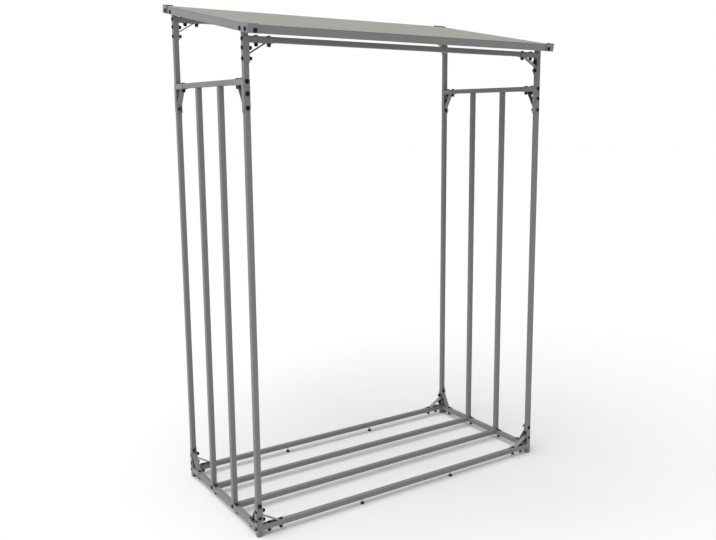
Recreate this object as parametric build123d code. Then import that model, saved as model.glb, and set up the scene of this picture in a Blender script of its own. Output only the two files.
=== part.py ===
"""Open log store: a bolted frame of square steel tube under a single-pitch sheet roof.

The frame is laid out about the middle of its posts: +X to the right along the front, +Y to the back, +Z up
from the ground. At the end every piece is moved so that the origin lies on the ground under the middle of the
whole outline.
"""
from build123d import *
import math
import os

# Frame, over the outer faces of the posts
frame_width = 1380.0
frame_depth = 660.0

# Square tube of every post, rail and slat
tube = 20.0
tube_wall = 1.0
tube_corner_radius = 2.0

# Heights: the eave and the floor rails above the ground, the top rails' drops below the roof over their
# posts, and the step from the front top rail down to the upper side rails
eave_height = 1836.0
floor_rail_underside = 22.0
front_rail_drop = 43.0
back_rail_drop = 37.0
side_rail_step = 141.0

# Upright slats of each side and the lengthwise rails beneath the logs, centre to centre, and the welded plates
# that hold the slats' lower ends on the rail
slat_spacing = 206.0
slat_foot_reach = 24.0
slat_foot_plate = 2.0

# Roof sheet and the folded rims under its edges
roof_fall_deg = 10.1
front_overhang = 62.0
back_overhang = 53.0
side_overhang = 10.0
sheet_thickness = 0.8
rim_height = 28.0
rim_wall = 1.0
rim_bend_radius = 2.0

# Bent plates that join the rims at the roof's corners, over rubber seals
cap_leg = 41.0
cap_plate = 1.0
cap_stand = 3.5
cap_end_radius = 6.0
cap_bend_radius = 2.0
seal_thickness = 2.0

# Folded corner brackets
bracket_plate = 2.0
bracket_long_leg = 94.5
bracket_short_leg = 70.0
bracket_fit = 0.1
cheek_height = 17.0
cheek_end_slant = 6.0
cheek_end_run = 12.0
strap_on_long_leg = 65.0
strap_on_short_leg = 39.0
bracket_bend_radius = 1.2

# Support feet under the front and back floor rails
foot_diameter = 16.0
foot_height = 8.0
foot_edge_slope = 1.5
stud_diameter = 6.0
foot_spacing = 452.0

# Values that follow from the sizes above
half_width = frame_width / 2
half_depth = frame_depth / 2
half_tube = tube / 2
post_x = half_width - half_tube
post_y = half_depth - half_tube
clear_width = frame_width - 2 * tube
clear_depth = frame_depth - 2 * tube
floor_rail_top = floor_rail_underside + tube
floor_rail_height = floor_rail_underside + half_tube

roof_width = frame_width + 2 * side_overhang
roof_fall = math.radians(roof_fall_deg)
roof_rise_share = math.tan(roof_fall)
roof_run = frame_depth + front_overhang + back_overhang
roof_length = roof_run / math.cos(roof_fall)
eave_y = -half_depth - front_overhang
channel_depth = side_overhang

roof_over_front_posts = eave_height + roof_rise_share * (front_overhang + half_tube)
roof_over_back_posts = eave_height + roof_rise_share * (front_overhang + frame_depth - half_tube)
front_rail_top = roof_over_front_posts - front_rail_drop
back_rail_top = roof_over_back_posts - back_rail_drop
side_rail_top = front_rail_top - side_rail_step
side_rail_height = side_rail_top - half_tube
slat_length = side_rail_top - tube - floor_rail_top
slat_y = slat_spacing / 2

bracket_width = tube + 2 * (bracket_fit + bracket_plate)

# Roof plane: its origin is the middle of the sheet's front top edge, +Y runs up the slope
roof_plane = Plane(
    origin=(0, eave_y, eave_height),
    x_dir=(1, 0, 0),
    z_dir=(0, -math.sin(roof_fall), math.cos(roof_fall)),
)
sheet_underside = roof_plane.offset(-sheet_thickness)

pieces = {}


def square_tube(length):
    """Tube along +Z from the ground plane, with drawn corners."""
    outside = RectangleRounded(tube, tube, tube_corner_radius)
    bore = tube - 2 * tube_wall
    inside = RectangleRounded(bore, bore, tube_corner_radius - tube_wall)
    return extrude(outside - inside, amount=length)


def tube_along_x(length):
    """Tube along X, centred on its length and its section."""
    return Rot(0, 90, 0) * Pos(0, 0, -length / 2) * square_tube(length)


def tube_along_y(length):
    """Tube along Y, centred on its length and its section."""
    return Rot(90, 0, 0) * Pos(0, 0, -length / 2) * square_tube(length)


def add_posts():
    """Corner posts from the ground to the underside of the roof sheet."""
    tallest = eave_height + roof_length * math.sin(roof_fall)
    for end, y in (("front", -post_y), ("back", post_y)):
        for side, x in (("left", -post_x), ("right", post_x)):
            post = Pos(x, y, 0) * square_tube(tallest)
            pieces[f"{end}_{side}_post"] = split(post, bisect_by=sheet_underside, keep=Keep.BOTTOM)


def add_rails():
    """Rails between the posts, near the ground and under the roof, and the rails beneath the logs."""
    cross_rail = tube_along_x(clear_width)
    for end, y, top in (("front", -post_y, front_rail_top), ("back", post_y, back_rail_top)):
        pieces[f"{end}_top_rail"] = Pos(0, y, top - half_tube) * cross_rail
        pieces[f"{end}_floor_rail"] = Pos(0, y, floor_rail_height) * cross_rail
    side_rail = tube_along_y(clear_depth)
    for side, x in (("left", -post_x), ("right", post_x)):
        pieces[f"{side}_upper_rail"] = Pos(x, 0, side_rail_height) * side_rail
        pieces[f"{side}_floor_rail"] = Pos(x, 0, floor_rail_height) * side_rail
    for end, y in (("front", -slat_y), ("back", slat_y)):
        pieces[f"{end}_log_rail"] = Pos(0, y, floor_rail_height) * cross_rail


def add_slats():
    """Two upright slats in each side, between its rails, each with a foot plate to the front."""
    plate_reach = slat_foot_reach + tube_wall
    plate_y = -half_tube + tube_wall - plate_reach / 2
    plate = Pos(0, plate_y, slat_foot_plate / 2) * Box(tube, plate_reach, slat_foot_plate)
    slat = square_tube(slat_length) + plate
    for side, x in (("left", -post_x), ("right", post_x)):
        for end, y in (("front", -slat_y), ("back", slat_y)):
            pieces[f"{side}_{end}_slat"] = Pos(x, y, floor_rail_top) * slat


def cheek_outline():
    """L-shaped outline of a bracket's side plate in its XZ plane, with slanted ends."""
    long_end = bracket_long_leg
    short_end = bracket_short_leg
    points = [
        (-cheek_height, -cheek_height),
        (long_end - cheek_end_run, -cheek_height),
        (long_end, -cheek_height + cheek_end_slant),
        (long_end, bracket_plate),
        (bracket_plate, bracket_plate),
        (bracket_plate, short_end),
        (-cheek_height + cheek_end_slant, short_end),
        (-cheek_height, short_end - cheek_end_run),
    ]
    return make_face(Plane.XZ * Polyline(*points, close=True))


def strap_outline():
    """Slanted strap between the two legs, in the bracket's XZ plane."""
    reach = math.hypot(strap_on_long_leg, strap_on_short_leg)
    along_x = bracket_plate * reach / strap_on_short_leg
    along_z = bracket_plate * reach / strap_on_long_leg
    points = [
        (strap_on_long_leg, bracket_plate / 2),
        (strap_on_long_leg + along_x, bracket_plate / 2),
        (bracket_plate / 2, strap_on_short_leg + along_z),
        (bracket_plate / 2, strap_on_short_leg),
    ]
    return make_face(Plane.XZ * Polyline(*points, close=True))


def corner_bracket(cheek_sides):
    """Folded bracket: long leg along +X, short leg along +Z, inner corner of the tubes at the origin."""
    half = bracket_width / 2
    near = -half if -1 in cheek_sides else -half_tube
    far = half if 1 in cheek_sides else half_tube
    width = far - near
    middle = (near + far) / 2
    half_plate = bracket_plate / 2
    long_web = Pos(bracket_long_leg / 2, middle, half_plate) * Box(bracket_long_leg, width, bracket_plate)
    short_web = Pos(half_plate, middle, bracket_short_leg / 2) * Box(bracket_plate, width, bracket_short_leg)
    strap = extrude(strap_outline(), amount=half_tube, both=True)
    bracket = long_web + short_web + strap
    for side in cheek_sides:
        cheek = extrude(cheek_outline(), amount=half_plate, both=True)
        bracket += Pos(0, side * (half - half_plate), 0) * cheek
    outer_edges = bracket.edges().filter_by(lambda edge: abs(abs(edge.center().Y) - half) < bracket_fit)
    long_folds = outer_edges.filter_by(Axis.X).filter_by(lambda edge: edge.center().Z > 0)
    short_folds = outer_edges.filter_by(Axis.Z).filter_by(
        lambda edge: abs(edge.center().X - bracket_plate) < bracket_fit
    )
    return fillet(long_folds + short_folds, bracket_bend_radius)


def place_bracket(corner, long_way, short_way, outward, both_cheeks):
    """A bracket in a corner, with its cheeks on both faces of the tubes or on the outer face alone."""
    plane = Plane(origin=corner, x_dir=long_way, z_dir=short_way)
    outer_side = 1 if plane.y_dir.dot(Vector(outward)) > 0 else -1
    sides = (outer_side, -outer_side) if both_cheeks else (outer_side,)
    return plane.location * corner_bracket(sides)


def add_brackets():
    """Brackets above each floor rail's ends and below each upper rail's ends."""
    inner_x = half_width - tube
    inner_y = half_depth - tube
    for end, facing, top in (("front", -1, front_rail_top), ("back", 1, back_rail_top)):
        for level, height, rise in (("floor", floor_rail_top, 1), ("top", top - tube, -1)):
            for side, way in (("left", -1), ("right", 1)):
                pieces[f"{end}_{level}_{side}_bracket"] = place_bracket(
                    corner=(way * inner_x, facing * post_y, height),
                    long_way=(-way, 0, 0),
                    short_way=(0, 0, rise),
                    outward=(0, facing, 0),
                    both_cheeks=level == "top",
                )
    for side, facing in (("left", -1), ("right", 1)):
        for level, height, rise in (("floor", floor_rail_top, 1), ("upper", side_rail_top - tube, -1)):
            for end, way in (("front", -1), ("back", 1)):
                pieces[f"{side}_{level}_{end}_bracket"] = place_bracket(
                    corner=(facing * post_x, way * inner_y, height),
                    long_way=(0, 0, rise),
                    short_way=(0, -way, 0),
                    outward=(facing, 0, 0),
                    both_cheeks=level == "upper",
                )


def rim_channel(length):
    """Folded channel along X, open to +Y, its web on Y zero and its top on Z zero."""
    outer = Rectangle(channel_depth, rim_height, align=(Align.MIN, Align.MAX))
    inner = Rectangle(channel_depth, rim_height - 2 * rim_wall, align=(Align.MIN, Align.MAX))
    outer = fillet(outer.vertices().group_by(Axis.X)[0], rim_bend_radius)
    inner = fillet(inner.vertices().group_by(Axis.X)[0], rim_bend_radius - rim_wall)
    profile = Plane.YZ * (outer - Pos(rim_wall, -rim_wall) * inner)
    return Pos(-length / 2, 0, 0) * extrude(profile, amount=length)


def add_roof():
    """Sheet, rims, and the corner caps on their seals, laid out flat on the roof plane."""
    sheet = Pos(0, roof_length / 2, -sheet_thickness / 2) * Box(roof_width, roof_length, sheet_thickness)
    pieces["roof_sheet"] = roof_plane.location * sheet

    cross_rim = rim_channel(roof_width)
    side_rim = rim_channel(roof_length - 2 * channel_depth)
    middle = roof_length / 2
    half_roof = roof_width / 2
    rims = {
        "front": Pos(0, 0, -sheet_thickness) * cross_rim,
        "back": Pos(0, roof_length, -sheet_thickness) * Rot(0, 0, 180) * cross_rim,
        "left": Pos(-half_roof, middle, -sheet_thickness) * Rot(0, 0, -90) * side_rim,
        "right": Pos(half_roof, middle, -sheet_thickness) * Rot(0, 0, 90) * side_rim,
    }
    for name, rim in rims.items():
        pieces[f"roof_{name}_rim"] = roof_plane.location * rim

    corners = {
        "front_left": (-half_roof, 0, 0),
        "front_right": (half_roof, 0, 90),
        "back_right": (half_roof, roof_length, 180),
        "back_left": (-half_roof, roof_length, 270),
    }
    cap = corner_cap()
    seal = corner_angle(0, seal_thickness)
    for name, (x, y, turn) in corners.items():
        corner = roof_plane.location * Pos(x, y, 0) * Rot(0, 0, turn)
        pieces[f"roof_cap_{name}"] = corner * cap
        pieces[f"roof_seal_{name}"] = corner * seal


def corner_angle(gap, thickness):
    """Upright angle a gap out from a roof corner that opens to +X and +Y, with rounded free ends."""
    height = sheet_thickness + rim_height + cap_stand
    inner = -gap
    outer = -gap - thickness
    points = [
        (outer, outer),
        (cap_leg, outer),
        (cap_leg, inner),
        (inner, inner),
        (inner, cap_leg),
        (outer, cap_leg),
    ]
    bent = make_face(Polyline(*points, close=True))
    angle = Pos(0, 0, -sheet_thickness - rim_height) * extrude(bent, amount=height)
    ends = angle.edges().filter_by(Axis.Y).filter_by(lambda edge: edge.center().X > cap_leg - thickness)
    ends += angle.edges().filter_by(Axis.X).filter_by(lambda edge: edge.center().Y > cap_leg - thickness)
    return fillet(ends, cap_end_radius)


def corner_cap():
    """Plate bent round a roof corner's seal."""
    plate = corner_angle(seal_thickness, cap_plate)
    reach = seal_thickness + cap_plate
    fold = plate.edges().filter_by(Axis.Z).sort_by_distance((-reach, -reach, 0))[0]
    return fillet(fold, cap_bend_radius)


def support_foot():
    """Round foot on the ground, with a stud up to the rail above it."""
    foot = Cylinder(foot_diameter / 2, foot_height, align=(Align.CENTER, Align.CENTER, Align.MIN))
    foot = chamfer(foot.edges().filter_by(GeomType.CIRCLE), foot_edge_slope)
    stud_length = floor_rail_underside - foot_height
    return foot + Pos(0, 0, foot_height) * Cylinder(
        stud_diameter / 2, stud_length, align=(Align.CENTER, Align.CENTER, Align.MIN)
    )


def add_feet():
    """Feet under the thirds of the front and back floor rails."""
    foot = support_foot()
    feet = [Pos(x, y, 0) * foot for x in (-foot_spacing / 2, foot_spacing / 2) for y in (-post_y, post_y)]
    pieces["support_feet"] = Compound(children=feet)


add_posts()
add_rails()
add_slats()
add_brackets()
add_roof()
add_feet()

boxes = [piece.bounding_box() for piece in pieces.values()]
left = min(box.min.X for box in boxes)
right = max(box.max.X for box in boxes)
front = min(box.min.Y for box in boxes)
back = max(box.max.Y for box in boxes)
ground = min(box.min.Z for box in boxes)
to_origin = Pos(-(left + right) / 2, -(front + back) / 2, -ground)

os.makedirs("parts", exist_ok=True)
for name, piece in pieces.items():
    export_step(to_origin * piece, f"parts/{name}.step")
print(f"{len(pieces)} nodes, moved by {to_origin.position}")
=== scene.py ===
"""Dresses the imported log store: coats for its steel, the bolts that hold it together, and a studio.

Every length is in metres, in the part's own frame: +X to the right along the front, +Y to the
back, +Z up.
"""
import math
import random

import bpy
from mathutils import Matrix, Vector


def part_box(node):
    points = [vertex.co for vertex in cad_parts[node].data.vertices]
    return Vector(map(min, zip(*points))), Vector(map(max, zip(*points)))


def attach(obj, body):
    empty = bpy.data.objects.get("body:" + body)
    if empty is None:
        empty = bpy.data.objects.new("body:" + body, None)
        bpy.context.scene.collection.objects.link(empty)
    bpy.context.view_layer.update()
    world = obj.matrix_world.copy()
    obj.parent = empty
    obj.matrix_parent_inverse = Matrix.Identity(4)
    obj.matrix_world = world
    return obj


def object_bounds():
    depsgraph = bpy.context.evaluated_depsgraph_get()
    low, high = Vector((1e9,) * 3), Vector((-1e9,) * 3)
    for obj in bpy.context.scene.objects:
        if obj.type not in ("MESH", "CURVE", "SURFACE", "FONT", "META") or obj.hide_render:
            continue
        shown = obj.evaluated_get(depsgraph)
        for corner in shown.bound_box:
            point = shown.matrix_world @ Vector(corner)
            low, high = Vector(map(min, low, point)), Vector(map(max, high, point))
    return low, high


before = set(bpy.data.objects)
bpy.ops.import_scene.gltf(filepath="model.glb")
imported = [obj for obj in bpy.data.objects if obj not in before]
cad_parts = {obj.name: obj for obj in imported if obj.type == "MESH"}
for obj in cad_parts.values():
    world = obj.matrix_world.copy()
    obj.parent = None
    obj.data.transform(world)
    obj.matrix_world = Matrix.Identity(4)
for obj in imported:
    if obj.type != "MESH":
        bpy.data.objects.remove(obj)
cad_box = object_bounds()

bl_info = {
    "name": "Log store",
    "version": (1, 0, 0),
    "blender": (4, 5, 0),
    "location": "View3D > Sidebar > Log store",
    "description": "Coats, bolts and studio of an open log store",
    "category": "Object",
}

MM = 0.001
BODY = "root"
ENDS = ("front", "back")
SIDES = ("left", "right")
OUTWARD = {
    "front": Vector((0, -1, 0)),
    "back": Vector((0, 1, 0)),
    "left": Vector((-1, 0, 0)),
    "right": Vector((1, 0, 0)),
}
UP = Vector((0, 0, 1))

# Bolt heads: shares of the head's height, and rings of the dome as shares of its height and width
HEAD_RIM = 0.24
HEAD_DOME = ((0.5, 0.94), (0.76, 0.8), (0.93, 0.6), (1.0, 0.42))
SOCKET_DEPTH = 0.55
# Nuts: shares of the nut's height and width, of the collar's, and of the bolt in it
NUT_CHAMFER = 0.1
NUT_CROWN_WIDTH = 0.93
COLLAR_LIP = 0.25
COLLAR_CROWN_WIDTH = 0.9
COLLAR_DEPTH = 0.5
COLLAR_BORE = 1.1
BOLT_STRAIGHT = 0.6
# Sides of the fasteners' round forms, few because there are so many of them
HEAD_SIDES = 18
COLLAR_SIDES = 16
BOLT_SIDES = 14
HEXAGON_SIDES = 6
# Edges flatter than this angle are shaded smooth, and an end face's normal rises at least this much
SMOOTH_ANGLE = math.radians(38)
END_FACE_NORMAL = 0.9

# Just above the support feet's plastic, and how near the roof's edge a corner counts as on it
FOOT_TOP = 8.1 * MM
EDGE_TOLERANCE = 1 * MM
# The stage: the floor's drop under the part, the broad light's distance, how far the camera sees
FLOOR_GAP = 0.5 * MM
KEY_DISTANCE = 4.0
CAMERA_REACH = 200.0


def linear(hex_colour):
    """Linear red, green, blue and alpha of an sRGB hex colour."""
    channels = [int(hex_colour[start:start + 2], 16) / 255 for start in (1, 3, 5)]
    return [c / 12.92 if c <= 0.04045 else ((c + 0.055) / 1.055) ** 2.4 for c in channels] + [1.0]


def tinted(colour, share):
    """A colour at a share of its own brightness."""
    return [min(1.0, channel * share) for channel in colour[:3]] + [1.0]


def per_mm(size):
    """Texture scale whose features are this many millimetres across."""
    return 1 / (size * MM)


def add_node(tree, kind, inputs=None, **settings):
    """Adds one shader node with its settings, and sets or links its inputs."""
    node = tree.nodes.new(kind)
    for name, value in settings.items():
        setattr(node, name, value)
    for socket, value in (inputs or {}).items():
        if isinstance(value, bpy.types.NodeSocket):
            tree.links.new(value, node.inputs[socket])
        else:
            node.inputs[socket].default_value = value
    return node


def new_material(name):
    """An empty node material and its tree."""
    material = bpy.data.materials.new(name)
    material.use_nodes = True
    material.node_tree.nodes.clear()
    return material, material.node_tree


# Properties


class FastenerSizes(bpy.types.PropertyGroup):
    """Sizes of the bolts, and where they sit on the brackets, the slats' feet and the roof."""

    head_diameter: bpy.props.FloatProperty(
        name="Head diameter", description="Across the domed bolt heads",
        default=16.2 * MM, unit="LENGTH", precision=4)
    head_height: bpy.props.FloatProperty(
        name="Head height", description="From the washer face to the crown",
        default=3.7 * MM, unit="LENGTH", precision=4)
    socket_width: bpy.props.FloatProperty(
        name="Socket width", description="Across the flats of the key socket",
        default=4 * MM, unit="LENGTH", precision=4)
    nut_width: bpy.props.FloatProperty(
        name="Nut width", description="Across the flats of the nuts",
        default=13 * MM, unit="LENGTH", precision=4)
    nut_height: bpy.props.FloatProperty(
        name="Nut height", description="Height of the nuts' hexagon",
        default=8 * MM, unit="LENGTH", precision=4)
    collar_width: bpy.props.FloatProperty(
        name="Collar width", description="Across the locking collar of the nuts",
        default=12.8 * MM, unit="LENGTH", precision=4)
    collar_height: bpy.props.FloatProperty(
        name="Collar height", description="Height of the locking collar",
        default=4 * MM, unit="LENGTH", precision=4)
    bolt_diameter: bpy.props.FloatProperty(
        name="Bolt diameter", description="Over the crests of the thread",
        default=8 * MM, unit="LENGTH", precision=4)
    bolt_tip: bpy.props.FloatProperty(
        name="Bolt tip", description="Across the bright cut end of the bolts",
        default=4.4 * MM, unit="LENGTH", precision=4)
    bolt_recess: bpy.props.FloatProperty(
        name="Bolt recess", description="From the collar's end in to the bolt's tip",
        default=0.3 * MM, unit="LENGTH", precision=4)
    long_leg_near: bpy.props.FloatProperty(
        name="Long leg, near bolt", description="From the corner along the bracket's long leg",
        default=31.5 * MM, unit="LENGTH", precision=4)
    long_leg_far: bpy.props.FloatProperty(
        name="Long leg, far bolt", description="From the corner along the bracket's long leg",
        default=79.5 * MM, unit="LENGTH", precision=4)
    short_leg_near: bpy.props.FloatProperty(
        name="Short leg, near bolt", description="From the corner along the bracket's short leg",
        default=19.8 * MM, unit="LENGTH", precision=4)
    short_leg_far: bpy.props.FloatProperty(
        name="Short leg, far bolt", description="From the corner along the bracket's short leg",
        default=55.3 * MM, unit="LENGTH", precision=4)
    bracket_plate: bpy.props.FloatProperty(
        name="Bracket plate", description="Thickness of the brackets' webs",
        default=2 * MM, unit="LENGTH", precision=4)
    foot_plate: bpy.props.FloatProperty(
        name="Foot plate", description="Thickness of the slats' foot plates",
        default=2 * MM, unit="LENGTH", precision=4)
    foot_bolt_reach: bpy.props.FloatProperty(
        name="Foot bolt reach", description="From a slat's front face to the bolt of its foot plate",
        default=12 * MM, unit="LENGTH", precision=4)
    cap_side_bolt: bpy.props.FloatProperty(
        name="Cap side bolt", description="From the roof's corner along its side, before the lead",
        default=21 * MM, unit="LENGTH", precision=4)
    cap_side_depth: bpy.props.FloatProperty(
        name="Cap side depth", description="From the roof's face down to the side bolt",
        default=16.8 * MM, unit="LENGTH", precision=4)
    cap_end_bolt: bpy.props.FloatProperty(
        name="Cap end bolt", description="From the roof's corner along its front or back",
        default=26 * MM, unit="LENGTH", precision=4)
    cap_end_depth: bpy.props.FloatProperty(
        name="Cap end depth", description="From the roof's face down to the front or back bolt",
        default=18.8 * MM, unit="LENGTH", precision=4)
    side_bolt_lead: bpy.props.FloatProperty(
        name="Side bolt lead",
        description="How far forward of their posts and corners the roof's side bolts sit",
        default=6.5 * MM, unit="LENGTH", precision=4)
    post_bolt_depth: bpy.props.FloatProperty(
        name="Post bolt depth", description="From the roof's face down to a post's bolt",
        default=19 * MM, unit="LENGTH", precision=4)


class FinishColours(bpy.types.PropertyGroup):
    """Colours of the coats, the plating, the rubber, the plastic and the floor."""

    frame_coat: bpy.props.FloatVectorProperty(
        name="Frame coat", description="Powder coat of the tubes",
        default=linear("#787878"), subtype="COLOR", size=4, min=0, max=1)
    bracket_coat: bpy.props.FloatVectorProperty(
        name="Bracket coat", description="Powder coat of the brackets",
        default=linear("#7e7e7e"), subtype="COLOR", size=4, min=0, max=1)
    roof_coat: bpy.props.FloatVectorProperty(
        name="Roof coat", description="Coat of the roof sheet",
        default=linear("#8f8d87"), subtype="COLOR", size=4, min=0, max=1)
    rim_coat: bpy.props.FloatVectorProperty(
        name="Rim coat", description="Powder coat of the roof's rims and caps",
        default=linear("#7d7d7e"), subtype="COLOR", size=4, min=0, max=1)
    bolt_plating: bpy.props.FloatVectorProperty(
        name="Bolt plating", description="Black plating of the heads and nuts",
        default=linear("#0c0c0d"), subtype="COLOR", size=4, min=0, max=1)
    thread_plating: bpy.props.FloatVectorProperty(
        name="Thread plating", description="Bright plating of the bolt ends and studs",
        default=linear("#c2c4c6"), subtype="COLOR", size=4, min=0, max=1)
    # Painted shade: the seals' black stands in for the shade in the gap between each roof cap and its
    # rim.
    seal_gap_shade: bpy.props.FloatVectorProperty(
        name="Seal rubber", description="Rubber between the roof's caps and rims",
        default=linear("#0d0d0d"), subtype="COLOR", size=4, min=0, max=1)
    foot_plastic: bpy.props.FloatVectorProperty(
        name="Foot plastic", description="Moulded plastic of the support feet",
        default=linear("#161616"), subtype="COLOR", size=4, min=0, max=1)
    studio_paper: bpy.props.FloatVectorProperty(
        name="Studio paper", description="Pale floor under the store",
        default=linear("#dadad8"), subtype="COLOR", size=4, min=0, max=1)


class StudioSettings(bpy.types.PropertyGroup):
    """Floor, lights and camera."""

    floor_width: bpy.props.FloatProperty(
        name="Floor width", description="Side of the pale floor",
        default=60.0, unit="LENGTH")
    key_strength: bpy.props.FloatProperty(
        name="Key strength", description="Strength of the broad soft light",
        default=3.95, min=0)
    key_breadth: bpy.props.FloatProperty(
        name="Key breadth", description="Angle that the broad soft light takes up",
        default=math.radians(75), subtype="ANGLE")
    key_height: bpy.props.FloatProperty(
        name="Key height", description="Angle of the broad soft light above the horizon",
        default=math.radians(68), subtype="ANGLE")
    key_turn: bpy.props.FloatProperty(
        name="Key turn", description="From the left side round to the front",
        default=math.radians(10), subtype="ANGLE")
    fill_place: bpy.props.FloatVectorProperty(
        name="Fill place", description="Where the soft panel at the back left stands",
        default=(-2.5, 4.5, 2.4), subtype="TRANSLATION")
    fill_size: bpy.props.FloatVectorProperty(
        name="Fill size", description="Width and height of the soft panel",
        default=(3.0, 1.6), size=2, unit="LENGTH")
    fill_power: bpy.props.FloatProperty(
        name="Fill power", description="Power of the soft panel",
        default=15.0, min=0, unit="POWER")
    room_light: bpy.props.FloatProperty(
        name="Room light", description="Even light from all round",
        default=0.3, min=0)
    camera_place: bpy.props.FloatVectorProperty(
        name="Camera place", description="Where the camera stands",
        default=(-1.9064, -2.9593, 1.5410), subtype="TRANSLATION")
    camera_tilt: bpy.props.FloatProperty(
        name="Camera tilt", description="Down from the horizon",
        default=math.radians(9.57), subtype="ANGLE")
    camera_turn: bpy.props.FloatProperty(
        name="Camera turn", description="To the right of straight ahead",
        default=math.radians(35.115), subtype="ANGLE")
    camera_lens: bpy.props.FloatProperty(
        name="Camera lens", description="Focal length",
        default=41.71, unit="CAMERA")
    camera_shift: bpy.props.FloatVectorProperty(
        name="Camera shift", description="Shift of the picture across and up",
        default=(-0.0564, -0.0205), size=2)


# Modelling helpers


def deselect():
    """Leaves nothing selected, so that the next operator meets only what it makes."""
    if bpy.context.object is not None and bpy.context.object.mode != "OBJECT":
        bpy.ops.object.mode_set(mode="OBJECT")
    bpy.ops.object.select_all(action="DESELECT")


def pick_faces(piece, test):
    """Enters edit mode with just the faces selected that pass a test."""
    bpy.ops.object.mode_set(mode="EDIT")
    bpy.ops.mesh.select_mode(type="FACE")
    bpy.ops.mesh.select_all(action="DESELECT")
    bpy.ops.object.mode_set(mode="OBJECT")
    for face in piece.data.polygons:
        face.select = test(face)
    bpy.ops.object.mode_set(mode="EDIT")


def faces_up(face):
    """True for the end face at the top of a part that stands along Z."""
    return face.normal.z > END_FACE_NORMAL


def raise_face(rise):
    """Extrudes the picked end face along the fastener's axis."""
    bpy.ops.mesh.extrude_region_move(TRANSFORM_OT_translate={"value": (0, 0, rise)})


def raise_ring(rise, spread):
    """Extrudes the picked end face along the fastener's axis and widens or narrows it."""
    raise_face(rise)
    bpy.ops.transform.resize(value=(spread, spread, 1), center_override=(0, 0, 0))


def join_parts(parts, name):
    """Joins objects into the first of them and names the result."""
    deselect()
    for part in parts:
        part.select_set(True)
    bpy.context.view_layer.objects.active = parts[0]
    bpy.ops.object.join()
    piece = bpy.context.object
    piece.name = name
    piece.data.name = name
    return piece


def model_head(sizes, plating):
    """A domed bolt head that stands on its washer face, with a key socket in its crown."""
    rim = sizes.head_height * HEAD_RIM
    deselect()
    bpy.ops.mesh.primitive_cylinder_add(
        vertices=HEAD_SIDES, radius=sizes.head_diameter / 2, depth=rim, location=(0, 0, rim / 2))
    head = bpy.context.object
    bpy.ops.object.transform_apply(location=True)
    pick_faces(head, faces_up)
    height, spread = rim, 1.0
    for height_share, spread_share in HEAD_DOME:
        raise_ring(height_share * sizes.head_height - height, spread_share / spread)
        height, spread = height_share * sizes.head_height, spread_share
    deselect()

    depth = sizes.head_height * SOCKET_DEPTH
    bpy.ops.mesh.primitive_cylinder_add(
        vertices=HEXAGON_SIDES, radius=sizes.socket_width / math.sqrt(3), depth=2 * depth,
        location=(0, 0, sizes.head_height))
    cutter = bpy.context.object
    deselect()
    bpy.context.view_layer.objects.active = head
    socket = head.modifiers.new("key socket", "BOOLEAN")
    socket.object = cutter
    bpy.ops.object.modifier_apply(modifier=socket.name)
    bpy.data.objects.remove(cutter)
    head.data.materials.append(plating)
    head.select_set(True)
    bpy.ops.object.shade_smooth_by_angle(angle=SMOOTH_ANGLE)
    head.name = "bolt_head_pattern"
    return head


def model_nut(sizes, plating, thread_plating):
    """A hexagon locking nut that stands on its face, with the bright tip of its bolt in its collar."""
    chamfer = sizes.nut_height * NUT_CHAMFER
    straight = sizes.nut_height - chamfer
    corner = sizes.nut_width / math.sqrt(3)
    deselect()
    bpy.ops.mesh.primitive_cylinder_add(
        vertices=HEXAGON_SIDES, radius=corner, depth=straight, location=(0, 0, straight / 2))
    hexagon = bpy.context.object
    bpy.ops.object.transform_apply(location=True)
    pick_faces(hexagon, faces_up)
    raise_ring(chamfer, NUT_CROWN_WIDTH)
    deselect()

    lip = sizes.collar_height * COLLAR_LIP
    depth = sizes.collar_height * COLLAR_DEPTH
    bpy.ops.mesh.primitive_cylinder_add(
        vertices=COLLAR_SIDES, radius=sizes.collar_width / 2, depth=sizes.collar_height,
        location=(0, 0, sizes.nut_height - lip + sizes.collar_height / 2))
    collar = bpy.context.object
    bpy.ops.object.transform_apply(location=True)
    pick_faces(collar, faces_up)
    raise_ring(lip, COLLAR_CROWN_WIDTH)
    crown = sizes.collar_width * COLLAR_CROWN_WIDTH
    bpy.ops.mesh.inset(thickness=(crown - sizes.bolt_diameter * COLLAR_BORE) / 2)
    raise_face(-depth)
    deselect()
    for part in (hexagon, collar):
        part.data.materials.append(plating)

    top = sizes.nut_height + sizes.collar_height
    start = top - depth
    bpy.ops.mesh.primitive_cylinder_add(
        vertices=BOLT_SIDES, radius=sizes.bolt_diameter / 2, depth=lip,
        location=(0, 0, start - lip / 2))
    thread = bpy.context.object
    bpy.ops.object.transform_apply(location=True)
    thread.data.materials.append(plating)
    thread.data.materials.append(thread_plating)
    pick_faces(thread, faces_up)
    rise = top - sizes.bolt_recess - start
    raise_ring(rise * BOLT_STRAIGHT, 1.0)
    raise_ring(rise * (1 - BOLT_STRAIGHT), sizes.bolt_tip / sizes.bolt_diameter)
    thread.active_material_index = 1
    bpy.ops.object.material_slot_assign()
    deselect()

    nut = join_parts([hexagon, collar, thread], "nut_pattern")
    bpy.ops.object.shade_smooth_by_angle(angle=SMOOTH_ANGLE)
    return nut


def set_fastener(pattern, place, outward, turn):
    """A copy of a fastener on a face, with its place and turn in its own mesh."""
    copy = pattern.copy()
    copy.data = pattern.data.copy()
    bpy.context.scene.collection.objects.link(copy)
    stand = outward.to_track_quat("Z", "Y").to_matrix().to_4x4()
    copy.data.transform(Matrix.Translation(place) @ stand @ Matrix.Rotation(turn, 4, "Z"))
    return copy


def set_group(context, name, places):
    """One piece out of the fasteners of a place: (kind, place, outward) for each of them."""
    patterns = fastener_patterns(context)
    turns = random.Random(name)
    copies = []
    for kind, place, outward in places:
        copies.append(set_fastener(patterns[kind], place, outward, turns.uniform(0, math.tau)))
    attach(join_parts(copies, name), BODY)


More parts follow.
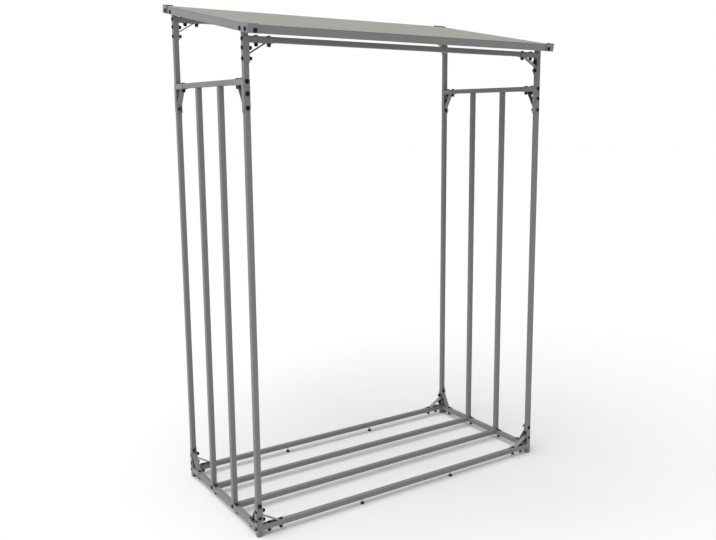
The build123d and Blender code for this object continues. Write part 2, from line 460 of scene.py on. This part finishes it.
def fastener_patterns(context):
    """The head and the nut that all the bolts are copied from, made when first asked for."""
    head = bpy.data.objects.get("bolt_head_pattern")
    nut = bpy.data.objects.get("nut_pattern")
    if head is None or nut is None:
        sizes = context.scene.log_store_fasteners
        black = black_plated_steel(context)
        bright = bright_plated_thread(context)
        head = model_head(sizes, black)
        nut = model_nut(sizes, black, bright)
        for pattern in (head, nut):
            for holder in list(pattern.users_collection):
                holder.objects.unlink(pattern)
    return {"head": head, "nut": nut}


def middle(node):
    """Middle of a CAD node's box."""
    low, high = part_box(node)
    return (low + high) / 2


def face_point(node, outward):
    """Middle of the side of a CAD node's box that looks outward."""
    low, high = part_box(node)
    half = (high - low) / 2
    return middle(node) + Vector(o * h for o, h in zip(outward, half))


def breadth(node, outward):
    """Size of a CAD node's box from the side that looks outward to the side behind it."""
    return (face_point(node, outward) - face_point(node, -outward)).dot(outward)


# Finishes


def powder_coat(name, colour, mottle, peel, roughness, recess):
    """Grey polyester powder, sprayed on steel and baked: satin, even, with a fine orange-peel skin.

    Mottle, peel and recess are in millimetres. The skin's real bumps are 1 to 2 mm across and too
    fine to show, so they are drawn as wide as peel says. In corners narrower than recess says, the
    colour is darkened by ambient occlusion: painted shade, standing in for the shade that falls there.
    """
    material, tree = new_material(name)
    place = add_node(tree, "ShaderNodeTexCoord").outputs["Object"]
    clouds = add_node(
        tree, "ShaderNodeTexNoise", {"Vector": place, "Scale": per_mm(mottle), "Detail": 3.0})
    grain = add_node(
        tree, "ShaderNodeTexNoise", {"Vector": place, "Scale": per_mm(peel), "Detail": 2.0})
    tone = add_node(
        tree, "ShaderNodeMix",
        {0: clouds.outputs["Fac"], 6: tinted(colour, 0.93), 7: tinted(colour, 1.07)},
        data_type="RGBA")
    fleck = add_node(
        tree, "ShaderNodeMapRange",
        {"Value": grain.outputs["Fac"], "From Min": 0.3, "From Max": 0.7,
         "To Min": 0.965, "To Max": 1.035})
    flecked = add_node(
        tree, "ShaderNodeMix", {0: 1.0, 6: tone.outputs[2], 7: fleck.outputs["Result"]},
        data_type="RGBA", blend_type="MULTIPLY")
    # Painted shade: the ambient occlusion darkens the colour in corners and between parts, where shade
    # falls.
    reach = add_node(tree, "ShaderNodeAmbientOcclusion", {"Distance": recess * MM}, samples=8)
    painted_shade = add_node(
        tree, "ShaderNodeMapRange",
        {"Value": reach.outputs["AO"], "From Min": 0.25, "From Max": 0.75,
         "To Min": 0.3, "To Max": 1.0})
    painted_shade_tone = add_node(
        tree, "ShaderNodeMix", {0: 1.0, 6: flecked.outputs[2], 7: painted_shade.outputs["Result"]},
        data_type="RGBA", blend_type="MULTIPLY")
    satin = add_node(
        tree, "ShaderNodeMapRange",
        {"Value": clouds.outputs["Fac"], "From Min": 0.25, "From Max": 0.75,
         "To Min": roughness - 0.05, "To Max": roughness + 0.05})
    skin = add_node(
        tree, "ShaderNodeBump",
        {"Height": grain.outputs["Fac"], "Strength": 0.25, "Distance": 0.25 * MM})
    shader = add_node(
        tree, "ShaderNodeBsdfPrincipled",
        {"Base Color": painted_shade_tone.outputs[2], "Roughness": satin.outputs["Result"],
         "Normal": skin.outputs["Normal"], "IOR": 1.5, "Specular IOR Level": 0.35})
    add_node(tree, "ShaderNodeOutputMaterial", {"Surface": shader.outputs["BSDF"]})
    return material


def coated_roof_sheet(context):
    """Thin steel sheet, coated flat and folded: smooth, with broad waves where the sheet relaxed.

    The skin's grain is too fine to show, so it is drawn 5 mm wide.
    """
    colour = context.scene.log_store_colours.roof_coat
    material, tree = new_material("coated folded roof sheet")
    place = add_node(tree, "ShaderNodeTexCoord").outputs["Object"]
    clouds = add_node(
        tree, "ShaderNodeTexNoise", {"Vector": place, "Scale": per_mm(160), "Detail": 4.0})
    waves = add_node(
        tree, "ShaderNodeTexNoise", {"Vector": place, "Scale": per_mm(260), "Detail": 0.0})
    grain = add_node(
        tree, "ShaderNodeTexNoise", {"Vector": place, "Scale": per_mm(5), "Detail": 2.0})
    tone = add_node(
        tree, "ShaderNodeMix",
        {0: clouds.outputs["Fac"], 6: tinted(colour, 0.94), 7: tinted(colour, 1.06)},
        data_type="RGBA")
    satin = add_node(
        tree, "ShaderNodeMapRange",
        {"Value": clouds.outputs["Fac"], "From Min": 0.25, "From Max": 0.75,
         "To Min": 0.44, "To Max": 0.54})
    relaxed = add_node(
        tree, "ShaderNodeBump",
        {"Height": waves.outputs["Fac"], "Strength": 0.5, "Distance": 2.0 * MM})
    skin = add_node(
        tree, "ShaderNodeBump",
        {"Height": grain.outputs["Fac"], "Strength": 0.2, "Distance": 0.2 * MM,
         "Normal": relaxed.outputs["Normal"]})
    shader = add_node(
        tree, "ShaderNodeBsdfPrincipled",
        {"Base Color": tone.outputs[2], "Roughness": satin.outputs["Result"],
         "Normal": skin.outputs["Normal"], "IOR": 1.5})
    add_node(tree, "ShaderNodeOutputMaterial", {"Surface": shader.outputs["BSDF"]})
    return material


def black_plated_steel(context):
    """Steel, cold-headed and plated black: dark, half glossy, a little paler where it was handled."""
    colour = context.scene.log_store_colours.bolt_plating
    material, tree = new_material("black plated steel")
    place = add_node(tree, "ShaderNodeTexCoord").outputs["Object"]
    rubbed = add_node(
        tree, "ShaderNodeTexNoise", {"Vector": place, "Scale": per_mm(6), "Detail": 3.0})
    tone = add_node(
        tree, "ShaderNodeMix",
        {0: rubbed.outputs["Fac"], 6: tinted(colour, 0.7), 7: tinted(colour, 1.5)},
        data_type="RGBA")
    gloss = add_node(
        tree, "ShaderNodeMapRange",
        {"Value": rubbed.outputs["Fac"], "From Min": 0.3, "From Max": 0.7,
         "To Min": 0.34, "To Max": 0.46})
    shader = add_node(
        tree, "ShaderNodeBsdfPrincipled",
        {"Base Color": tone.outputs[2], "Roughness": gloss.outputs["Result"],
         "Specular IOR Level": 0.2})
    add_node(tree, "ShaderNodeOutputMaterial", {"Surface": shader.outputs["BSDF"]})
    return material


def bright_plated_thread(context):
    """Steel, thread-rolled and bright zinc plated: pale grey metal with a soft shine."""
    colour = context.scene.log_store_colours.thread_plating
    material, tree = new_material("bright zinc plated thread")
    place = add_node(tree, "ShaderNodeTexCoord").outputs["Object"]
    bloom = add_node(
        tree, "ShaderNodeTexNoise", {"Vector": place, "Scale": per_mm(3), "Detail": 2.0})
    tone = add_node(
        tree, "ShaderNodeMix",
        {0: bloom.outputs["Fac"], 6: tinted(colour, 0.82), 7: list(colour)}, data_type="RGBA")
    gloss = add_node(
        tree, "ShaderNodeMapRange",
        {"Value": bloom.outputs["Fac"], "From Min": 0.3, "From Max": 0.7,
         "To Min": 0.28, "To Max": 0.42})
    shader = add_node(
        tree, "ShaderNodeBsdfPrincipled",
        {"Base Color": tone.outputs[2], "Roughness": gloss.outputs["Result"], "Metallic": 1.0})
    add_node(tree, "ShaderNodeOutputMaterial", {"Surface": shader.outputs["BSDF"]})
    return material


def gap_shade_rubber(context):
    """Black EPDM rubber, calendered into sheet and cut: matt, with a faint bloom. Its black is painted
    shade, standing in for the shade in the gap between each roof cap and its rim.
    """
    colour = context.scene.log_store_colours.seal_gap_shade
    material, tree = new_material("calendered sheet rubber")
    place = add_node(tree, "ShaderNodeTexCoord").outputs["Object"]
    bloom = add_node(
        tree, "ShaderNodeTexNoise", {"Vector": place, "Scale": per_mm(8), "Detail": 2.0})
    tone = add_node(
        tree, "ShaderNodeMix",
        {0: bloom.outputs["Fac"], 6: list(colour), 7: tinted(colour, 1.6)}, data_type="RGBA")
    shader = add_node(
        tree, "ShaderNodeBsdfPrincipled",
        {"Base Color": tone.outputs[2], "Roughness": 0.8, "Specular IOR Level": 0.2, "IOR": 1.5})
    add_node(tree, "ShaderNodeOutputMaterial", {"Surface": shader.outputs["BSDF"]})
    return material


def moulded_foot_on_stud(context):
    """Black polyethylene, injection moulded with a matt skin, under a stud of zinc plated steel.

    The stud starts at the plastic's top, and the ridges of its thread are about 1 mm apart.
    """
    colours = context.scene.log_store_colours
    plastic = list(colours.foot_plastic)
    zinc = list(colours.thread_plating)
    material, tree = new_material("moulded polyethylene foot on zinc stud")
    place = add_node(tree, "ShaderNodeTexCoord").outputs["Object"]
    height = add_node(tree, "ShaderNodeSeparateXYZ", {"Vector": place}).outputs["Z"]
    above = add_node(tree, "ShaderNodeMath", {0: height, 1: FOOT_TOP}, operation="GREATER_THAN")
    stud = above.outputs["Value"]
    skin = add_node(
        tree, "ShaderNodeTexNoise", {"Vector": place, "Scale": per_mm(2), "Detail": 2.0})
    ridge = add_node(
        tree, "ShaderNodeTexWave",
        {"Vector": place, "Scale": per_mm(1) / math.pi, "Distortion": 0.0}, bands_direction="Z")
    black = add_node(
        tree, "ShaderNodeMix",
        {0: skin.outputs["Fac"], 6: plastic, 7: tinted(plastic, 1.6)}, data_type="RGBA")
    tone = add_node(
        tree, "ShaderNodeMix", {0: stud, 6: black.outputs[2], 7: zinc}, data_type="RGBA")
    gloss = add_node(
        tree, "ShaderNodeMapRange", {"Value": stud, "To Min": 0.55, "To Max": 0.34})
    groove = add_node(
        tree, "ShaderNodeMath", {0: ridge.outputs["Fac"], 1: stud}, operation="MULTIPLY")
    grip = add_node(
        tree, "ShaderNodeBump",
        {"Height": groove.outputs["Value"], "Strength": 0.6, "Distance": 0.4 * MM})
    shader = add_node(
        tree, "ShaderNodeBsdfPrincipled",
        {"Base Color": tone.outputs[2], "Roughness": gloss.outputs["Result"], "Metallic": stud,
         "Normal": grip.outputs["Normal"], "IOR": 1.5})
    add_node(tree, "ShaderNodeOutputMaterial", {"Surface": shader.outputs["BSDF"]})
    return material


def studio_paper(context):
    """Matt seamless paper: pale and without a sheen.

    Its fibres are too fine to show, so its faint clouds are drawn 400 mm wide.
    """
    colour = context.scene.log_store_colours.studio_paper
    material, tree = new_material("matt seamless paper")
    place = add_node(tree, "ShaderNodeTexCoord").outputs["Object"]
    clouds = add_node(
        tree, "ShaderNodeTexNoise", {"Vector": place, "Scale": per_mm(400), "Detail": 2.0})
    tone = add_node(
        tree, "ShaderNodeMix",
        {0: clouds.outputs["Fac"], 6: tinted(colour, 0.985), 7: list(colour)}, data_type="RGBA")
    shader = add_node(
        tree, "ShaderNodeBsdfPrincipled",
        {"Base Color": tone.outputs[2], "Roughness": 0.95, "Specular IOR Level": 0.1})
    add_node(tree, "ShaderNodeOutputMaterial", {"Surface": shader.outputs["BSDF"]})
    return material


def coat_nodes(names, material):
    """Gives CAD nodes one finish in place of the one that they were packed with."""
    for name in names:
        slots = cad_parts[name].data.materials
        slots.clear()
        slots.append(material)


# Operators


class LOGSTORE_OT_coat_frame(bpy.types.Operator):
    """Powder coats the posts, rails and slats"""

    bl_idname = "logstore.coat_frame"
    bl_label = "Coat the frame"

    def execute(self, context):
        # The recess sets how narrow a corner must be to get painted shade.
        coat = powder_coat(
            "powder coated steel tube", context.scene.log_store_colours.frame_coat,
            mottle=120, peel=4, roughness=0.46, recess=20)
        tubes = ("_post", "_rail", "_slat")
        coat_nodes([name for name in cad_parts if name.endswith(tubes)], coat)
        return {"FINISHED"}


class LOGSTORE_OT_coat_brackets(bpy.types.Operator):
    """Powder coats the folded corner brackets"""

    bl_idname = "logstore.coat_brackets"
    bl_label = "Coat the brackets"

    def execute(self, context):
        # The recess sets how narrow a corner must be to get painted shade.
        coat = powder_coat(
            "powder coated pressed steel", context.scene.log_store_colours.bracket_coat,
            mottle=60, peel=4, roughness=0.44, recess=40)
        coat_nodes([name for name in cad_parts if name.endswith("_bracket")], coat)
        return {"FINISHED"}


class LOGSTORE_OT_coat_roof(bpy.types.Operator):
    """Coats the roof sheet, its rims and its corner caps"""

    bl_idname = "logstore.coat_roof"
    bl_label = "Coat the roof"

    def execute(self, context):
        # The recess sets how narrow a corner must be to get painted shade.
        coat = powder_coat(
            "powder coated folded steel", context.scene.log_store_colours.rim_coat,
            mottle=90, peel=4, roughness=0.44, recess=20)
        coat_nodes([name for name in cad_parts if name.endswith("_rim")], coat)
        coat_nodes([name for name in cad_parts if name.startswith("roof_cap_")], coat)
        coat_nodes(["roof_sheet"], coated_roof_sheet(context))
        return {"FINISHED"}


class LOGSTORE_OT_finish_seals(bpy.types.Operator):
    """Gives the seals under the roof's caps their black rubber: painted shade for the shade in the gap
    there
    """

    bl_idname = "logstore.finish_seals"
    bl_label = "Finish the seals"

    def execute(self, context):
        seals = [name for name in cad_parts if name.startswith("roof_seal_")]
        coat_nodes(seals, gap_shade_rubber(context))
        return {"FINISHED"}


class LOGSTORE_OT_finish_feet(bpy.types.Operator):
    """Gives the support feet their moulded plastic and their studs their plating"""

    bl_idname = "logstore.finish_feet"
    bl_label = "Finish the feet"

    def execute(self, context):
        coat_nodes(["support_feet"], moulded_foot_on_stud(context))
        return {"FINISHED"}


class LOGSTORE_OT_bolt_brackets(bpy.types.Operator):
    """Bolts each corner bracket to its post and rail, with the heads outside and on top"""

    bl_idname = "logstore.bolt_brackets"
    bl_label = "Bolt the brackets"

    def execute(self, context):
        sizes = context.scene.log_store_fasteners
        long_leg = (sizes.long_leg_near, sizes.long_leg_far)
        short_leg = (sizes.short_leg_near, sizes.short_leg_far)
        for end in ENDS:
            for side in SIDES:
                post = f"{end}_{side}_post"
                for rail in (f"{end}_floor", f"{end}_top"):
                    self.bolt(context, rail, post, side, on_rail=long_leg, on_post=short_leg)
                for rail in (f"{side}_floor", f"{side}_upper"):
                    self.bolt(context, rail, post, end, on_rail=short_leg, on_post=long_leg)
        return {"FINISHED"}

    def bolt(self, context, rail_place, post, toward, on_rail, on_post):
        """Two bolts through a rail, and two through the post that stands toward one end of it."""
        web = context.scene.log_store_fasteners.bracket_plate
        rail = f"{rail_place}_rail"
        outward = OUTWARD[toward]
        bracket_above = rail_place.endswith("_floor")
        rise = UP if bracket_above else -UP
        post_face = face_point(post, -outward)
        rail_face = face_point(rail, rise)
        corner = Vector(
            post_face[axis] if outward[axis] else rail_face[axis] for axis in range(3))
        rail_depth = breadth(rail, UP)
        post_depth = breadth(post, outward)
        places = []
        for reach in on_rail:
            foot = corner - outward * reach
            upper = foot + UP * (web if bracket_above else rail_depth)
            lower = foot - UP * (rail_depth if bracket_above else web)
            places.append(("head", upper, UP))
            places.append(("nut", lower, -UP))
        for reach in on_post:
            foot = corner + rise * reach
            places.append(("head", foot + outward * post_depth, outward))
            places.append(("nut", foot - outward * web, -outward))
        set_group(context, f"{rail_place}_{toward}_bracket_bolts", places)


class LOGSTORE_OT_bolt_rail_ends(bpy.types.Operator):
    """Sets the bolts that run through the posts into the ends of the rails"""

    bl_idname = "logstore.bolt_rail_ends"
    bl_label = "Bolt the rail ends"

    def execute(self, context):
        for end in ENDS:
            for side in SIDES:
                post = f"{end}_{side}_post"
                places = []
                for rail, outward in (
                    (f"{end}_floor_rail", OUTWARD[side]),
                    (f"{end}_top_rail", OUTWARD[side]),
                    (f"{side}_upper_rail", OUTWARD[end]),
                ):
                    place = face_point(post, outward)
                    place.z = middle(rail).z
                    places.append(("head", place, outward))
                set_group(context, f"{post}_rail_bolts", places)
        return {"FINISHED"}


class LOGSTORE_OT_bolt_side_floor_rails(bpy.types.Operator):
    """Bolts the lengthwise log rails and the slats' foot plates to the side floor rails"""

    bl_idname = "logstore.bolt_side_floor_rails"
    bl_label = "Bolt the side floor rails"

    def execute(self, context):
        sizes = context.scene.log_store_fasteners
        for side in SIDES:
            rail = f"{side}_floor_rail"
            outward = OUTWARD[side]
            places = []
            for end in ENDS:
                log_rail_y = middle(f"{end}_log_rail").y
                place = face_point(rail, outward)
                place.y = log_rail_y
                places.append(("head", place, outward))
                # Each slat stands over the end of its log rail, and all the tubes are equally wide
                slat_face_y = log_rail_y - breadth(rail, outward) / 2
                top = face_point(rail, UP)
                top.y = slat_face_y - sizes.foot_bolt_reach
                places.append(("head", top + UP * sizes.foot_plate, UP))
                under = face_point(rail, -UP)
                under.y = top.y
                places.append(("nut", under, -UP))
            set_group(context, f"{rail}_bolts", places)
        return {"FINISHED"}


class LOGSTORE_OT_bolt_roof(bpy.types.Operator):
    """Bolts the corner caps to the roof's rims, and the side rims to the posts"""

    bl_idname = "logstore.bolt_roof"
    bl_label = "Bolt the roof"

    def execute(self, context):
        sizes = context.scene.log_store_fasteners
        low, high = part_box("roof_sheet")
        run = high.y - low.y
        fall = math.atan2(self.top_height(high.y) - self.top_height(low.y), run)
        along = Vector((0, math.cos(fall), math.sin(fall)))
        up = Vector((0, -math.sin(fall), math.cos(fall)))
        eave = Vector((0, low.y, self.top_height(low.y)))
        length = run / math.cos(fall)
        for end in ENDS:
            for side in SIDES:
                cap = f"roof_cap_{end}_{side}"
                outward = OUTWARD[side]
                cap_x = face_point(cap, outward).x
                sheet_x = face_point("roof_sheet", outward).x
                at_front = end == "front"
                from_eave = sizes.cap_side_bolt if at_front else length - sizes.cap_side_bolt
                from_eave -= sizes.side_bolt_lead
                beside = eave + along * from_eave - up * sizes.cap_side_depth
                beside.x = cap_x
                # The cap's plate is as thick in front of the end rim as beside the side rim
                facing = -along if at_front else along
                plate = abs(cap_x) - abs(sheet_x)
                before = eave - up * sizes.cap_end_depth + facing * plate
                if not at_front:
                    before += along * length
                before.x = sheet_x - outward.x * sizes.cap_end_bolt
                places = [("head", beside, outward), ("head", before, facing)]
                set_group(context, f"{cap}_bolts", places)
        for side in SIDES:
            rim = f"roof_{side}_rim"
            places = []
            for end in ENDS:
                y = middle(f"{end}_{side}_post").y - sizes.side_bolt_lead
                from_eave = (y - eave.y + up.y * sizes.post_bolt_depth) / along.y
                place = eave + along * from_eave - up * sizes.post_bolt_depth
                place.x = face_point(rim, OUTWARD[side]).x
                places.append(("head", place, OUTWARD[side]))
            set_group(context, f"{rim}_bolts", places)
        return {"FINISHED"}

    def top_height(self, y):
        """Height of the roof sheet's top face at its front or back edge."""
        corners = [vertex.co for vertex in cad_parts["roof_sheet"].data.vertices]
        return max(corner.z for corner in corners if abs(corner.y - y) < EDGE_TOLERANCE)


class LOGSTORE_OT_clear_patterns(bpy.types.Operator):
    """Takes away the head and the nut that all the bolts were copied from"""

    bl_idname = "logstore.clear_patterns"
    bl_label = "Clear the patterns"

    def execute(self, context):
        for pattern in fastener_patterns(context).values():
            bpy.data.meshes.remove(pattern.data)
        return {"FINISHED"}


class LOGSTORE_OT_build_stage(bpy.types.Operator):
    """Lays the pale floor, hangs the soft light and stands the camera where the picture was taken"""

    bl_idname = "logstore.build_stage"
    bl_label = "Build the stage"

    def execute(self, context):
        studio = context.scene.log_store_studio
        self.lay_floor(context, studio)
        self.hang_lights(context, studio)
        self.light_room(context, studio)
        self.stand_camera(context, studio)
        context.scene.view_settings.view_transform = "Standard"
        return {"FINISHED"}

    def lay_floor(self, context, studio):
        """A pale floor, a hair under the feet so that the two don't share a plane."""
        deselect()
        bpy.ops.mesh.primitive_plane_add(size=studio.floor_width, location=(0, 0, -FLOOR_GAP))
        floor = context.object
        floor.name = "studio_floor"
        floor.data.materials.append(studio_paper(context))

    def hang_lights(self, context, studio):
        """A broad soft light high at the left, and a weak soft panel at the back left."""
        level = math.cos(studio.key_height)
        source = Vector((
            -level * math.cos(studio.key_turn),
            -level * math.sin(studio.key_turn),
            math.sin(studio.key_height),
        ))
        bpy.ops.object.light_add(type="SUN", location=source * KEY_DISTANCE)
        key = context.object
        key.name = "key_light"
        key.data.energy = studio.key_strength
        key.data.angle = studio.key_breadth
        key.rotation_euler = source.to_track_quat("Z", "Y").to_euler()

        bpy.ops.object.light_add(type="AREA", location=studio.fill_place)
        fill = context.object
        fill.name = "fill_light"
        fill.data.shape = "RECTANGLE"
        fill.data.size, fill.data.size_y = studio.fill_size
        fill.data.energy = studio.fill_power
        aim = Vector(studio.fill_place) - (cad_box[0] + cad_box[1]) / 2
        fill.rotation_euler = aim.to_track_quat("Z", "Y").to_euler()

    def light_room(self, context, studio):
        """Even light from all round, in front of a wall that the camera sees as white."""
        world = bpy.data.worlds.new("studio_room")
        context.scene.world = world
        world.use_nodes = True
        tree = world.node_tree
        tree.nodes.clear()
        white = (1, 1, 1, 1)
        seen = add_node(tree, "ShaderNodeLightPath").outputs["Is Camera Ray"]
        room = add_node(
            tree, "ShaderNodeBackground", {"Color": white, "Strength": studio.room_light})
        wall = add_node(tree, "ShaderNodeBackground", {"Color": white, "Strength": 1.0})
        mixed = add_node(
            tree, "ShaderNodeMixShader",
            {0: seen, 1: room.outputs["Background"], 2: wall.outputs["Background"]})
        add_node(tree, "ShaderNodeOutputWorld", {"Surface": mixed.outputs["Shader"]})

    def stand_camera(self, context, studio):
        """The camera that the picture was taken with."""
        bpy.ops.object.camera_add(
            location=studio.camera_place,
            rotation=(math.pi / 2 - studio.camera_tilt, 0, -studio.camera_turn))
        camera = context.object
        camera.name = "photo_camera"
        camera.data.lens = studio.camera_lens
        camera.data.shift_x, camera.data.shift_y = studio.camera_shift
        camera.data.clip_end = CAMERA_REACH
        context.scene.camera = camera


class LOGSTORE_PT_sidebar(bpy.types.Panel):
    """Sizes, colours and steps of the log store"""

    bl_idname = "LOGSTORE_PT_sidebar"
    bl_label = "Log store"
    bl_space_type = "VIEW_3D"
    bl_region_type = "UI"
    bl_category = "Log store"

    def draw(self, context):
        layout = self.layout
        for group in ("log_store_fasteners", "log_store_colours", "log_store_studio"):
            settings = getattr(context.scene, group)
            box = layout.box()
            for name in settings.__annotations__:
                box.prop(settings, name)
        for step in STEPS:
            layout.operator(step.bl_idname)


STEPS = (
    LOGSTORE_OT_coat_frame,
    LOGSTORE_OT_coat_brackets,
    LOGSTORE_OT_coat_roof,
    LOGSTORE_OT_finish_seals,
    LOGSTORE_OT_finish_feet,
    LOGSTORE_OT_bolt_brackets,
    LOGSTORE_OT_bolt_rail_ends,
    LOGSTORE_OT_bolt_side_floor_rails,
    LOGSTORE_OT_bolt_roof,
    LOGSTORE_OT_clear_patterns,
    LOGSTORE_OT_build_stage,
)
CLASSES = (FastenerSizes, FinishColours, StudioSettings) + STEPS + (LOGSTORE_PT_sidebar,)


def register():
    """Makes the settings, the steps and the sidebar known to Blender."""
    for cls in CLASSES:
        bpy.utils.register_class(cls)
    bpy.types.Scene.log_store_fasteners = bpy.props.PointerProperty(type=FastenerSizes)
    bpy.types.Scene.log_store_colours = bpy.props.PointerProperty(type=FinishColours)
    bpy.types.Scene.log_store_studio = bpy.props.PointerProperty(type=StudioSettings)


def unregister():
    """Takes them away again."""
    del bpy.types.Scene.log_store_fasteners
    del bpy.types.Scene.log_store_colours
    del bpy.types.Scene.log_store_studio
    for cls in reversed(CLASSES):
        bpy.utils.unregister_class(cls)


def main():
    """Runs every step in order."""
    register()
    bpy.ops.logstore.coat_frame()
    bpy.ops.logstore.coat_brackets()
    bpy.ops.logstore.coat_roof()
    bpy.ops.logstore.finish_seals()
    bpy.ops.logstore.finish_feet()
    bpy.ops.logstore.bolt_brackets()
    bpy.ops.logstore.bolt_rail_ends()
    bpy.ops.logstore.bolt_side_floor_rails()
    bpy.ops.logstore.bolt_roof()
    bpy.ops.logstore.clear_patterns()
    bpy.ops.logstore.build_stage()


if __name__ == "__main__":
    main()
